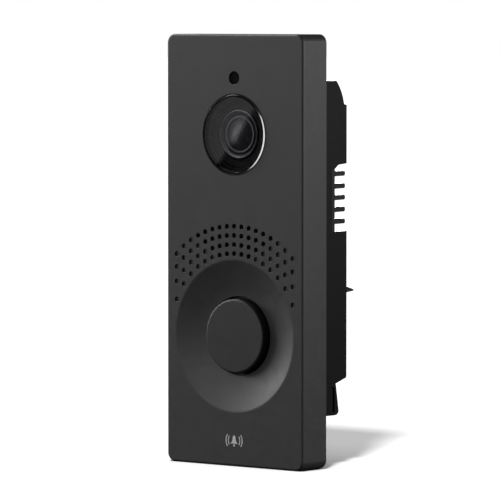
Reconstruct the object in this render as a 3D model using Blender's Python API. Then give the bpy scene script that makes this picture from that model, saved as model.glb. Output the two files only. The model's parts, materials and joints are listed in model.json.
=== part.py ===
"""A slim one-button video doorbell, taken apart into its real pieces.

Sizes are in millimetres and UNIT turns them into Blender's metres. The front faces -Y, +Z is up,
and Z = 0 is half way up the cover. Depths are counted from the base plate's back, and the wall
plane lies WALL_PLANE behind it. At the end main() moves every piece so that the wall plane is Y = 0.
"""

import math

import bmesh
import bpy
from mathutils import Vector

UNIT = 0.001
GAP = 0.3
SHARP = math.radians(34)

# Front cover: a deep tray, open at the back.
COVER_WIDTH = 71.0
COVER_HEIGHT = 174.0
COVER_DEPTH = 15.1
COVER_CORNER = 3.6
COVER_EDGE = 0.95
COVER_WALL = 2.0
COVER_FACE = 2.2
WALL_PLANE = 0.6
FRONT = WALL_PLANE - COVER_DEPTH
INNER = FRONT + COVER_FACE

# Heights of what the front carries.
SENSOR_Z = 69.4
WINDOW_Z = 46.7
SPEAKER_Z = 13.0
BUTTON_Z = -34.5

# Camera window and the hole for it.
WINDOW_HOLE = 16.35
BEZEL_RADIUS = 16.05
GLASS_RADIUS = 15.05
WINDOW_PROUD = 0.55
SENSOR_HOLE = 2.65

# Dish around the call button.
DISH_RADIUS = 30.6
DISH_INNER = 15.9
DISH_DEPTH = 3.3
DISH_CURVE = 1.35
DISH_BACK = -9.0
BUTTON_RADIUS = 15.0

# Speaker holes: arcs about the button's centre, lined up in columns.
HOLE_RADIUS = 1.0
HOLE_PITCH_X = 3.79
HOLE_COLUMNS = 8
HOLE_ROWS = ((33.3, 2), (36.9, 3), (40.6, 4), (44.3, 5))
BLIND_DEPTH = 0.9

# Rear housing, which sits in the wall box.
HOUSING_HALF = 31.5
HOUSING_WALL = 2.0
HOUSING_TOP = 68.4
HOUSING_BOTTOM = -53.7
BLOCK_BACK = 18.8
FIN_ROOT = 10.9
FIN_TIP = 17.7
FIN_THICKNESS = 2.05
FIN_HEIGHTS = (31.0, 26.0, 21.4, 16.6, 11.8)
HOOD_BOTTOM = -66.4

# Boards and plates.
PLATE_THICKNESS = 2.4
BOARD_FRONT = 1.5
BOARD_THICKNESS = 1.6
BOARD_BACK = BOARD_FRONT + BOARD_THICKNESS

# Where the screws go: (x, z).
HOUSING_SCREWS = ((-27.0, 63.4), (27.0, 63.4), (-27.0, -48.8), (27.0, -48.8))
WALL_SCREWS = ((-24.0, 76.5), (24.0, 76.5), (-24.0, -76.5), (24.0, -76.5))
TAMPER_X, TAMPER_Z = 9.0, 77.0
RESET_X, RESET_Z = 21.0, -6.0

# name: base colour, roughness, metallic
FINISHES = {
    "graphite": ((0.055, 0.057, 0.060), 0.48, 0.0),
    "button_black": ((0.032, 0.033, 0.035), 0.42, 0.0),
    "black_plastic": ((0.014, 0.014, 0.015), 0.50, 0.0),
    "black_aluminium": ((0.016, 0.016, 0.017), 0.46, 0.7),
    "polished": ((0.82, 0.82, 0.84), 0.12, 1.0),
    "steel": ((0.55, 0.56, 0.58), 0.30, 1.0),
    "glass": ((0.62, 0.65, 0.68), 0.03, 0.0),
    "smoked": ((0.006, 0.006, 0.007), 0.08, 0.0),
    "lens": ((0.030, 0.032, 0.060), 0.03, 0.0),
    "rubber": ((0.020, 0.020, 0.020), 0.75, 0.0),
    "board_green": ((0.020, 0.105, 0.050), 0.45, 0.0),
    "chip": ((0.022, 0.022, 0.024), 0.40, 0.0),
    "ivory_plastic": ((0.62, 0.60, 0.54), 0.45, 0.0),
    "signal_green": ((0.06, 0.30, 0.12), 0.45, 0.0),
    "paper": ((0.045, 0.043, 0.040), 0.80, 0.0),
    "magnet": ((0.30, 0.30, 0.31), 0.38, 0.9),
    "thermal": ((0.46, 0.47, 0.52), 0.70, 0.0),
    "relay_blue": ((0.02, 0.09, 0.30), 0.40, 0.0),
    "ferrite": ((0.10, 0.095, 0.09), 0.60, 0.2),
}


def clear_scene():
    for item in list(bpy.data.objects):
        bpy.data.objects.remove(item, do_unlink=True)


def finish_material(name, finish):
    colour, roughness, metallic = FINISHES[finish]
    made = bpy.data.materials.new(f"{name}_{finish}")
    made.use_nodes = True
    shader = made.node_tree.nodes["Principled BSDF"]
    shader.inputs["Base Color"].default_value = (*colour, 1.0)
    shader.inputs["Roughness"].default_value = roughness
    shader.inputs["Metallic"].default_value = metallic
    return made


def solid(name, points, faces, finish, origin=(0.0, 0.0, 0.0), smooth=False):
    """An object from points in millimetres, with its origin at `origin`."""
    mesh = bpy.data.meshes.new(name)
    start = Vector(origin)
    mesh.from_pydata([(Vector(point) - start) * UNIT for point in points], [], faces)
    work = bmesh.new()
    work.from_mesh(mesh)
    bmesh.ops.recalc_face_normals(work, faces=work.faces)
    work.to_mesh(mesh)
    work.free()
    if smooth:
        mesh.shade_smooth()
        mesh.set_sharp_from_angle(angle=SHARP)
    made = bpy.data.objects.new(name, mesh)
    made.location = start * UNIT
    bpy.context.scene.collection.objects.link(made)
    if finish:
        mesh.materials.append(finish_material(name, finish))
    return made


def as_helper(made):
    made.hide_render = True
    made.display_type = "WIRE"
    return made


def boolean(target, other, operation):
    step = target.modifiers.new(f"{operation.lower()}_{other.name}", "BOOLEAN")
    step.operation = operation
    step.solver = "EXACT"
    step.object = as_helper(other)


def cut(target, *cutters):
    for cutter in cutters:
        boolean(target, cutter, "DIFFERENCE")


def join(target, *others):
    for other in others:
        boolean(target, other, "UNION")


def prism_shape(outline, axis, low, high):
    """Points and faces of an outline pushed along an axis from low to high."""
    place = {
        "X": lambda a, b, t: (t, a, b),
        "Y": lambda a, b, t: (a, t, b),
        "Z": lambda a, b, t: (a, b, t),
    }[axis]
    count = len(outline)
    points = [place(a, b, low) for a, b in outline]
    points += [place(a, b, high) for a, b in outline]
    faces = [tuple(range(count)), tuple(range(count, 2 * count))]
    for i in range(count):
        j = (i + 1) % count
        faces.append((i, j, count + j, count + i))
    return points, faces


def turned_shape(profile, centre, axis, segments):
    """Points and faces of a closed (radius, distance along the axis) profile turned about the axis."""
    place = {
        "X": lambda a, b, t: (t, centre[0] + a, centre[1] + b),
        "Y": lambda a, b, t: (centre[0] + a, t, centre[1] + b),
        "Z": lambda a, b, t: (centre[0] + a, centre[1] + b, t),
    }[axis]
    points = []
    rings = []
    for radius, along in profile:
        turns = segments if radius > 0 else 1
        rings.append([len(points) + i for i in range(turns)])
        for i in range(turns):
            angle = 2 * math.pi * i / segments
            points.append(place(radius * math.cos(angle), radius * math.sin(angle), along))
    faces = []
    for first, second in zip(rings, rings[1:] + rings[:1]):
        if len(first) == 1 and len(second) == 1:
            continue
        for i in range(segments):
            j = (i + 1) % segments
            corners = [first[i % len(first)], first[j % len(first)]]
            corners += [second[j % len(second)], second[i % len(second)]]
            faces.append(tuple(dict.fromkeys(corners)))
    return points, faces


def prism(name, outline, axis, low, high, finish, **options):
    return solid(name, *prism_shape(outline, axis, low, high), finish, **options)


def turned(name, profile, centre, finish, axis="Y", segments=32):
    """A turned piece with its origin on its own axis."""
    along = profile[0][1]
    origin = {
        "X": (along, *centre),
        "Y": (centre[0], along, centre[1]),
        "Z": (*centre, along),
    }[axis]
    shape = turned_shape(profile, centre, axis, segments)
    return solid(name, *shape, finish, origin=origin, smooth=True)


def rectangle(low_a, high_a, low_b, high_b):
    return [(low_a, low_b), (high_a, low_b), (high_a, high_b), (low_a, high_b)]


def block(name, low, high, finish, bevel=0.0):
    """A block between two corners, its origin at its centre, with a one-step bevel if asked."""
    centre = [(a + b) / 2 for a, b in zip(low, high)]
    outline = rectangle(low[0], high[0], low[1], high[1])
    made = prism(name, outline, "Z", low[2], high[2], finish, origin=centre)
    if bevel:
        edge = made.modifiers.new("edges", "BEVEL")
        edge.width = bevel * UNIT
        edge.segments = 1
        edge.limit_method = "ANGLE"
    return made


def rod(name, radius, centre, low, high, finish, axis="Y", segments=16):
    profile = [(0.0, low), (radius, low), (radius, high), (0.0, high)]
    return turned(name, profile, centre, finish, axis, segments)


def rounded_rectangle(half_a, half_b, radius, steps=5):
    outline = []
    corners = ((1, 1, 0.0), (-1, 1, 0.5), (-1, -1, 1.0), (1, -1, 1.5))
    for sign_a, sign_b, start in corners:
        for i in range(steps + 1):
            angle = math.pi * (start + 0.5 * i / steps)
            a = sign_a * (half_a - radius) + radius * math.cos(angle)
            b = sign_b * (half_b - radius) + radius * math.sin(angle)
            outline.append((a, b))
    return outline


def lofted(name, rings, finish):
    """A solid from rings of equal length, closed by a face at each end."""
    count = len(rings[0])
    points = [point for ring in rings for point in ring]
    faces = [tuple(range(count)), tuple(range(len(points) - count, len(points)))]
    for level in range(len(rings) - 1):
        low = level * count
        for i in range(count):
            j = (i + 1) % count
            faces.append((low + i, low + j, low + count + j, low + count + i))
    return solid(name, points, faces, finish, smooth=True)


def dish_depth(radius):
    """How far the dish lies behind the front face at this distance from the button's centre."""
    share = (radius - DISH_INNER) / (DISH_RADIUS - DISH_INNER)
    return DISH_DEPTH * (1 - share**DISH_CURVE)


def speaker_holes():
    """(x, z, goes through) of each speaker hole."""
    for radius, open_columns in HOLE_ROWS:
        for column in range(-HOLE_COLUMNS, HOLE_COLUMNS + 1):
            x = HOLE_PITCH_X * column
            z = BUTTON_Z + math.sqrt(radius**2 - x**2)
            yield x, z, abs(column) <= open_columns


def speaker_hole_cutter():
    points = []
    faces = []
    for x, z, through in speaker_holes():
        end = INNER + 1.0 if through else FRONT + BLIND_DEPTH
        profile = [(0.0, FRONT - 1.0), (HOLE_RADIUS, FRONT - 1.0), (HOLE_RADIUS, end), (0.0, end)]
        more_points, more_faces = turned_shape(profile, (x, z), "Y", 10)
        start = len(points)
        points += more_points
        faces += [tuple(start + corner for corner in face) for face in more_faces]
    return solid("cut_speaker_holes", points, faces, None)


def dish_cutter():
    """The dish, run on past the face along its rim's slope, and the button's bore behind it."""
    rim_slope = DISH_CURVE * DISH_DEPTH / (DISH_RADIUS - DISH_INNER)
    over = 0.5
    profile = [(0.0, FRONT - over), (DISH_RADIUS + over / rim_slope, FRONT - over)]
    steps = 4
    for i in range(steps + 1):
        radius = DISH_RADIUS + (DISH_INNER - DISH_RADIUS) * i / steps
        profile.append((radius, FRONT + dish_depth(radius)))
    profile += [(DISH_INNER, DISH_BACK + 1.0), (0.0, DISH_BACK + 1.0)]
    return turned("cut_dish", profile, (0.0, BUTTON_Z), None, segments=56)


def make_front_cover():
    half_x = COVER_WIDTH / 2
    half_z = COVER_HEIGHT / 2
    steps = 3
    rings = [[(a, WALL_PLANE, b) for a, b in rounded_rectangle(half_x, half_z, COVER_CORNER)]]
    for i in range(steps + 1):
        angle = 0.5 * math.pi * i / steps
        inset = COVER_EDGE * (1 - math.cos(angle))
        y = FRONT + COVER_EDGE * (1 - math.sin(angle))
        outline = rounded_rectangle(half_x - inset, half_z - inset, COVER_CORNER - inset)
        rings.append([(a, y, b) for a, b in outline])
    cover = lofted("front_cover", rings, "graphite")
    inside = rounded_rectangle(half_x - COVER_WALL, half_z - COVER_WALL, COVER_CORNER - 1.6, 3)
    cut(cover, prism("cut_cover_inside", inside, "Y", INNER, 2.0, None))
    boss = DISH_RADIUS + 0.9
    boss_profile = [(0.0, INNER - 0.8), (boss, INNER - 0.8), (boss, DISH_BACK), (0.0, DISH_BACK)]
    join(cover, turned("add_dish_boss", boss_profile, (0.0, BUTTON_Z), None, segments=48))
    cut(cover, dish_cutter(), speaker_hole_cutter())
    for label, radius, z in (("window", WINDOW_HOLE, WINDOW_Z), ("sensor", SENSOR_HOLE, SENSOR_Z)):
        sides = 48 if label == "window" else 16
        hole = rod(f"cut_{label}_hole", radius, (0.0, z), FRONT - 1, INNER + 1, None, segments=sides)
        cut(cover, hole)
    low = -half_z
    sink = [(0.0, low - 0.5), (3.35, low - 0.5), (1.75, low + 1.25), (1.75, low + 3.0), (0.0, low + 3.0)]
    cut(cover, turned("cut_cover_screw", sink, (0.0, -7.0), None, "Z", 16))


def make_camera():
    centre = (0.0, WINDOW_Z)
    flange_front = INNER + GAP
    proud = FRONT - WINDOW_PROUD
    inner = GLASS_RADIUS + GAP
    bezel = [(inner, proud + 0.1), (inner + 0.1, proud), (BEZEL_RADIUS - 0.1, proud)]
    bezel += [(BEZEL_RADIUS, proud + 0.1), (BEZEL_RADIUS, flange_front), (17.7, flange_front)]
    bezel += [(17.7, flange_front + 0.8), (inner, flange_front + 0.8)]
    turned("window_bezel", bezel, centre, "polished", segments=40)
    glass = [(0.0, proud + 0.05), (GLASS_RADIUS - 0.2, proud + 0.05), (GLASS_RADIUS, proud + 0.25)]
    glass += [(GLASS_RADIUS, proud + 2.05), (0.0, proud + 2.05)]
    turned("camera_window", glass, centre, "glass", segments=40)
    hood = [(14.5, -12.65), (15.05, -12.65), (15.05, -9.6), (10.4, -9.6), (10.4, -10.5), (14.5, -10.5)]
    turned("camera_hood", hood, centre, "black_plastic", segments=28)
    barrel = [(8.6, -10.7), (9.6, -10.9), (10.0, -10.5), (10.0, -7.3), (8.0, -7.3), (8.0, -4.4)]
    barrel += [(5.0, -4.4), (5.0, -7.6), (8.6, -8.2)]
    turned("lens_barrel", barrel, centre, "black_plastic", segments=24)
    dome = [(0.0, -10.5), (2.9, -10.35), (5.6, -9.85), (8.2, -8.9), (8.2, -8.5), (0.0, -8.0)]
    turned("front_lens", dome, centre, "lens", segments=24)
    rod("rear_lens", 4.6, centre, -7.2, -5.0, "lens", segments=20)
    holder = block("lens_holder", (-11.5, -7.0, WINDOW_Z - 11.5), (11.5, -2.0, WINDOW_Z + 11.5),
                   "black_plastic", 0.6)
    slot_low = (-10.3, -4.0, WINDOW_Z - 6.3)
    slot_high = (10.3, -1.0, WINDOW_Z + 6.3)
    cut(holder, rod("cut_barrel_bore", 8.0 + GAP, centre, -8.0, -3.5, None, segments=32))
    cut(holder, block("cut_filter_slot", slot_low, slot_high, None))
    block("ir_cut_filter", (-9.8, -3.7, WINDOW_Z - 5.8), (3.6, -3.1, WINDOW_Z + 5.8), "lens")
    block("image_sensor", (-3.6, -2.7, WINDOW_Z - 3.0), (3.6, -2.0, WINDOW_Z + 3.0), "chip")
    block("camera_board", (-15.0, -1.7, 31.0), (15.0, -0.3, 64.0), "board_green")
    block("camera_connector", (-7.0, 0.0, 32.5), (7.0, 1.2, 36.5), "ivory_plastic", 0.3)


def make_light_sensor():
    centre = (0.0, SENSOR_Z)
    plug = [(0.0, FRONT + 0.35), (SENSOR_HOLE - GAP, FRONT + 0.35), (SENSOR_HOLE - GAP, INNER + GAP)]
    plug += [(3.8, INNER + GAP), (3.8, INNER + 1.1), (0.0, INNER + 1.1)]
    turned("sensor_window", plug, centre, "smoked", segments=16)
    block("light_sensor", (-1.2, -6.0, SENSOR_Z - 1.2), (1.2, -4.9, SENSOR_Z + 1.2), "chip")
    block("sensor_board", (-6.0, -4.6, 66.4), (6.0, -3.4, 73.6), "board_green")


def make_speaker():
    centre = (0.0, SPEAKER_Z)
    half = 15.6
    low, high = SPEAKER_Z - half, SPEAKER_Z + half
    block("speaker_mesh", (-19.6, INNER + GAP, low), (19.6, INNER + 0.6, high), "black_plastic")
    gasket_front = INNER + 0.9
    gasket = block("speaker_gasket", (-19.6, gasket_front, low), (19.6, -9.6, high), "rubber")
    window = block("cut_gasket", (-17.6, INNER, low + 2.0), (17.6, -9.0, high - 2.0), None)
    cut(gasket, window)
    frame = [(13.9, -9.3), (15.4, -9.3), (15.4, -7.6), (10.4, -3.6), (10.4, -2.8), (8.8, -2.8)]
    frame += [(8.8, -4.9), (13.9, -8.1)]
    turned("speaker_frame", frame, centre, "black_plastic", segments=20)
    cone = [(0.0, -7.9), (4.5, -7.3), (12.9, -8.9), (12.9, -8.4), (5.0, -6.7), (5.0, -4.7)]
    cone += [(4.4, -4.7), (4.4, -6.8), (0.0, -7.3)]
    turned("speaker_cone", cone, centre, "paper", segments=20)
    magnet = [(0.0, -5.4), (3.9, -5.4), (3.9, -3.9), (5.6, -3.9), (5.6, -5.4), (8.4, -5.4)]
    magnet += [(8.4, -2.8), (0.0, -2.8)]
    turned("speaker_magnet", magnet, centre, "magnet", segments=20)


def coil_points(radius, low, high, turns, per_turn):
    """A helix about the button's axis whose end turns lie flat."""
    count = turns * per_turn
    points = []
    for i in range(count + 1):
        angle = 2 * math.pi * i / per_turn
        share = min(max((i - per_turn / 2) / (count - per_turn), 0.0), 1.0)
        y = low + (high - low) * share
        points.append((radius * math.cos(angle), y, radius * math.sin(angle)))
    return points


def make_button_spring():
    wire = 0.4
    route = bpy.data.curves.new("button_spring", "CURVE")
    route.dimensions = "3D"
    route.bevel_depth = wire * UNIT
    route.bevel_resolution = 1
    route.use_fill_caps = True
    spline = route.splines.new("POLY")
    points = coil_points(7.5, -12.7 + GAP + wire + 0.1, -4.8 - GAP - wire - 0.1, 4, 10)
    spline.points.add(len(points) - 1)
    for target, point in zip(spline.points, points):
        target.co = (*(value * UNIT for value in point), 1.0)
    made = bpy.data.objects.new("button_spring", route)
    made.location = (0.0, 0.0, BUTTON_Z * UNIT)
    route.materials.append(finish_material("button_spring", "steel"))
    bpy.context.scene.collection.objects.link(made)


def make_button():
    centre = (0.0, BUTTON_Z)
    edge = 0.8
    profile = [(0.0, FRONT)]
    for i in range(4):
        angle = 0.5 * math.pi * i / 3
        radius = BUTTON_RADIUS - edge + edge * math.sin(angle)
        profile.append((radius, FRONT + edge - edge * math.cos(angle)))
    flange = DISH_BACK + GAP
    profile += [(BUTTON_RADIUS, flange), (17.2, flange), (17.2, flange + 1.0), (13.4, flange + 1.0)]
    profile += [(13.4, -12.7), (3.0, -12.7), (3.0, -6.2), (0.0, -6.2)]
    turned("call_button", profile, centre, "button_black", segments=40)
    cup = [(18.2, -8.6), (20.0, -8.6), (20.0, -3.6), (5.2, -3.6), (5.2, -4.8), (18.2, -4.8)]
    turned("button_housing", cup, centre, "black_plastic", segments=24)
    body = block("call_switch", (-3.1, -4.4, BUTTON_Z - 3.1), (3.1, -2.0, BUTTON_Z + 3.1), "chip")
    cut(body, rod("cut_switch_bore", 1.8, centre, -5.0, -2.3, None))
    rod("switch_plunger", 1.5, centre, -5.9, -3.6, "ivory_plastic")
    block("button_board", (-14.0, -1.7, -48.0), (14.0, -0.3, -21.0), "board_green")
    block("button_connector", (-6.0, 0.0, -46.0), (6.0, 1.2, -42.0), "ivory_plastic", 0.3)
    make_button_spring()


def make_microphone():
    centre = (19.4, -51.0)
    rod("microphone", 3.0, centre, -7.9, -5.7, "steel", segments=20)
    boot = [(1.0, -8.7), (4.2, -8.7), (4.2, -5.4), (3.3, -5.4), (3.3, -8.2), (1.0, -8.2)]
    turned("microphone_boot", boot, centre, "rubber", segments=20)


def plate_opening():
    """The base plate's opening, narrower at both ends, where the housing's screws go."""
    wide, narrow = 29.0, 23.0
    low, low_step, high_step, high = -64.0, -45.4, 60.0, 66.0
    right = [(narrow, low), (narrow, low_step), (wide, low_step)]
    right += [(wide, high_step), (narrow, high_step), (narrow, high)]
    return right + [(-x, z) for x, z in reversed(right)]


def make_base_plate():
    half_x = COVER_WIDTH / 2 - COVER_WALL - GAP
    half_z = COVER_HEIGHT / 2 - COVER_WALL - GAP
    outline = rounded_rectangle(half_x, half_z, 1.8, 2)
    plate = prism("base_plate", outline, "Y", -PLATE_THICKNESS, 0.0, "black_plastic")
    tab = block("add_screw_tab", (-5.0, -10.5, -half_z), (5.0, -1.0, -half_z + 5.0), None)
    top_pad = block("add_top_pad", (-31.0, -1.0, 70.0), (31.0, WALL_PLANE, 83.0), None)
    bottom_pad = block("add_bottom_pad", (-31.0, -1.0, -83.0), (31.0, WALL_PLANE, -69.0), None)
    join(plate, tab, top_pad, bottom_pad)
    cut(plate, prism("cut_plate_opening", plate_opening(), "Y", -12.0, 2.0, None))
    holes = [(x, z, 1.8) for x, z in HOUSING_SCREWS]
    holes += [(x, z, 2.3) for x, z in WALL_SCREWS]
    holes.append((TAMPER_X, TAMPER_Z, 2.1))
    for number, (x, z, radius) in enumerate(holes, 1):
        cut(plate, rod(f"cut_plate_{number}", radius, (x, z), -4.0, 2.0, None, segments=12))
    cut(plate, rod("cut_tab_thread", 1.65, (0.0, -7.0), -86.0, -76.0, None, "Z", 12))
    seal = lofted_frame("cover_seal", half_x, half_z, 2.0, -PLATE_THICKNESS - 1.8, -PLATE_THICKNESS - GAP)
    cut(seal, block("cut_seal_tab", (-5.6, -6.0, -86.0), (5.6, 0.0, -78.0), None))


def lofted_frame(name, half_x, half_z, width, low, high):
    """A flat rectangular frame."""
    frame = prism(name, rounded_rectangle(half_x, half_z, 1.8, 2), "Y", low, high, "rubber")
    inside = rectangle(width - half_x, half_x - width, width - half_z, half_z - width)
    cut(frame, prism(f"cut_{name}", inside, "Y", low - 1, high + 1, None))
    return frame


def housing_outline():
    """The housing's side view as (y, z), from the top front corner round the back."""
    points = [(GAP, HOUSING_TOP), (11.4, HOUSING_TOP), (14.3, 65.4), (15.7, 62.4), (17.1, 59.2)]
    points += [(18.6, 58.7), (BLOCK_BACK, 34.9), (13.5, 34.5), (FIN_ROOT, 32.7), (8.9, 32.7)]
    points += [(8.9, 7.8), (BLOCK_BACK, 7.8), (BLOCK_BACK, -51.5), (11.8, HOUSING_BOTTOM)]
    return points + [(GAP, HOUSING_BOTTOM)]


def cavity_outline():
    points = [(-1.0, 66.4), (10.4, 66.4), (12.6, 64.2), (14.6, 58.9), (16.3, 56.7), (16.3, 36.9)]
    points += [(6.9, 36.9), (6.9, 5.8), (16.3, 5.8), (16.3, -49.9), (11.0, -51.7)]
    return points + [(-1.0, -51.7)]


def clip_outline(grow=0.0):
    """A wall clip's side view as (y, z): a strip let into the housing, with its barb behind."""
    top, bottom = -14.8 + grow, -17.2 - grow
    return [(8.0 - grow, bottom), (19.1, bottom), (23.6, -16.7), (23.6, -16.3), (19.1, top),
            (8.0 - grow, top)]


def make_rear_housing():
    wall = HOUSING_HALF - HOUSING_WALL
    body = prism("rear_housing", housing_outline(), "X", -HOUSING_HALF, HOUSING_HALF, "black_plastic")
    cut(body, prism("cut_housing_inside", cavity_outline(), "X", -wall, wall, None))
    for number, (x, z) in enumerate(HOUSING_SCREWS, 1):
        side = math.copysign(1.0, x)
        low_x, high_x = sorted((side * 24.4, side * (wall + 0.5)))
        low_z, high_z = (60.8, 66.9) if z > 0 else (-52.2, -46.0)
        join(body, block(f"add_boss_{number}", (low_x, 0.8, low_z), (high_x, 9.5, high_z), None))
        cut(body, rod(f"cut_boss_{number}", 1.6, (x, z), -1.0, 8.5, None, segments=10))
    for number, (side, z) in enumerate(((-1, 40.0), (1, 40.0), (-1, -8.0), (1, -8.0)), 1):
        low_x, high_x = sorted((side * 27.2, side * (wall + 0.5)))
        join(body, block(f"add_ledge_{number}", (low_x, BOARD_BACK + GAP, z), (high_x, 5.6, z + 5.0), None))
    cut(body, block("cut_heat_window", (-8.3, 6.0, 12.7), (8.3, 10.0, 28.3), None))
    cut(body, block("cut_cover_recess", (-22.0, 17.5, -44.0), (22.0, 20.0, -2.0), None))
    cut(body, block("cut_cover_window", (-19.5, 15.0, -40.0), (19.5, 19.0, -6.0), None))
    for number, z in enumerate((-42.0, -4.0), 1):
        cut(body, rod(f"cut_cover_thread_{number}", 1.3, (0.0, z), 15.0, 18.0, None, segments=10))
    cut(body, block("cut_cable_slot", (-21.0, 4.0, -56.0), (21.0, 10.4, -50.0), None))
    for side in (-1, 1):
        low_x, high_x = sorted((side * 30.0, side * 33.0))
        label = "left" if side < 0 else "right"
        cut(body, prism(f"cut_clip_{label}", clip_outline(GAP), "X", low_x, high_x, None))
        low_x, high_x = sorted((side * 30.3, side * HOUSING_HALF))
        prism(f"wall_clip_{label}", clip_outline(), "X", low_x, high_x, "steel")


def make_heatsink():
    """A plate with rounded fins behind and a foot in front that reaches the processor."""
    half = FIN_THICKNESS / 2
    outline = [(9.2, 8.1), (FIN_ROOT, 8.1)]
    for z in reversed(FIN_HEIGHTS):
        outline += [(FIN_ROOT, z - half - 0.2), (FIN_TIP - 0.8, z - half), (FIN_TIP - 0.15, z - 0.5)]
        outline += [(FIN_TIP - 0.15, z + 0.5), (FIN_TIP - 0.8, z + half), (FIN_ROOT, z + half + 0.2)]
    outline += [(FIN_ROOT, 32.4), (9.2, 32.4)]
    sink = prism("heatsink", outline, "X", -HOUSING_HALF, HOUSING_HALF, "black_aluminium")
    join(sink, block("add_heat_foot", (-7.0, 6.3, 14.0), (7.0, 9.8, 27.0), None))


def make_cable_entry():
    side = [(GAP, HOUSING_BOTTOM - GAP), (11.9, HOUSING_BOTTOM - GAP), (13.8, -64.8), (12.9, -66.1)]
    side += [(11.9, HOOD_BOTTOM), (GAP, HOOD_BOTTOM)]
    hood = prism("cable_entry_hood", side, "X", -HOUSING_HALF, HOUSING_HALF, "black_plastic")
    inside = [(2.3, -50.0), (9.6, -50.0), (11.5, -64.4), (2.3, -64.4)]
    cut(hood, prism("cut_hood_inside", inside, "X", -29.5, 29.5, None))
    cut(hood, rod("cut_grommet_hole", 4.7, (0.0, 7.0), -68.0, -62.0, None, "Z", 24))
    grommet = [(3.6, -63.0), (4.4, -63.0), (4.4, -64.1), (4.35, -66.7), (5.6, -66.7), (5.4, -67.6)]
    grommet += [(3.6, -67.6)]
    turned("cable_grommet", grommet, (0.0, 7.0), "rubber", "Z", 20)


def make_electronics():
    top = BOARD_BACK + GAP
    block("main_board", (-28.8, BOARD_FRONT, -45.0), (28.8, BOARD_BACK, 60.0), "board_green")
    block("processor", (-7.0, top, 14.0), (7.0, 4.8, 27.0), "chip", 0.2)
    block("thermal_pad", (-6.5, 5.1, 14.5), (6.5, 6.0, 26.5), "thermal")
    block("power_transformer", (-24.0, top, 40.0), (-8.0, 14.0, 56.0), "ferrite", 0.8)
    rod("capacitor_1", 4.0, (6.0, 48.0), top, 15.0, "chip", segments=20)
    rod("capacitor_2", 4.0, (17.0, 48.0), top, 15.0, "chip", segments=20)
    block("door_relay", (-24.0, top, -26.0), (-8.5, 14.5, -7.0), "relay_blue", 0.5)
    block("terminal_block", (-24.0, top, -44.0), (-4.0, 13.0, -34.0), "signal_green", 0.4)
    jack = block("network_jack", (3.0, top, -45.0), (19.0, 16.0, -27.0), "steel")
    cut(jack, block("cut_jack_socket", (5.1, top + 1.5, -47.0), (16.9, top + 9.7, -32.0), None))


def make_switches():
    low, high = -7.5, -2.7
    body = block("tamper_switch", (TAMPER_X - 4, low, 74.0), (TAMPER_X + 4, high, 80.0), "chip", 0.3)
    cut(body, rod("cut_tamper_bore", 2.0, (TAMPER_X, TAMPER_Z), -9.0, -1.0, None, segments=16))
    rod("tamper_plunger", 1.6, (TAMPER_X, TAMPER_Z), -5.4, WALL_PLANE + 1.8, "ivory_plastic")
    body = block("reset_switch", (RESET_X - 3, -1.8, RESET_Z - 3), (RESET_X + 3, 1.2, RESET_Z + 3), "chip")
    cut(body, rod("cut_reset_bore", 1.9, (RESET_X, RESET_Z), -3.0, 0.6, None))
    rod("reset_button", 1.6, (RESET_X, RESET_Z), -3.0, -0.8, "button_black")


def make_screw(name, radius, head_radius, head_height, length, centre, seat, direction, axis="Y"):
    """A pan-head screw whose head bears on `seat`, its shank running along the axis by direction."""
    head = seat - direction * head_height
    end = seat + direction * length
    profile = [(0.0, head), (head_radius * 0.8, head), (head_radius, head + direction * 0.4 * head_height)]
    profile += [(head_radius, seat), (radius, seat), (radius, end - direction * 0.6), (0.0, end)]
    turned(name, profile, centre, "steel", axis, 8)


def make_screws():
    for number, centre in enumerate(HOUSING_SCREWS, 1):
        make_screw(f"housing_screw_{number}", 1.25, 2.6, 1.6, 9.5, centre, -PLATE_THICKNESS - GAP, 1)
    low = -COVER_HEIGHT / 2
    profile = [(0.0, low + 0.15), (2.65, low + 0.15), (1.35, low + 1.6), (1.35, low + 9.0)]
    profile.append((0.0, low + 9.6))
    turned("cover_screw", profile, (0.0, -7.0), "steel", "Z", 16)
    plate = block("terminal_cover", (-21.7, 17.8, -43.7), (21.7, BLOCK_BACK, -2.3), "black_plastic")
    for number, z in enumerate((-42.0, -4.0), 1):
        sink = [(0.0, 19.0), (2.0, 19.0), (2.0, 18.4), (1.3, 17.5), (0.0, 17.5)]
        cut(plate, turned(f"cut_cover_sink_{number}", sink, (0.0, z), None, segments=12))
        screw = [(0.0, 18.7), (1.7, 18.7), (1.7, 18.5), (1.0, 17.9), (1.0, 14.8), (0.0, 14.4)]
        turned(f"terminal_cover_screw_{number}", screw, (0.0, z), "steel", segments=12)


def main():
    clear_scene()
    make_front_cover()
    make_camera()
    make_light_sensor()
    make_speaker()
    make_button()
    make_microphone()
    make_base_plate()
    make_rear_housing()
    make_heatsink()
    make_cable_entry()
    make_electronics()
    make_switches()
    make_screws()
    for item in bpy.data.objects:
        item.location.y -= WALL_PLANE * UNIT


main()
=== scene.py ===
import json
import math

import bmesh
import bpy
from mathutils import Matrix, Vector

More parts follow.
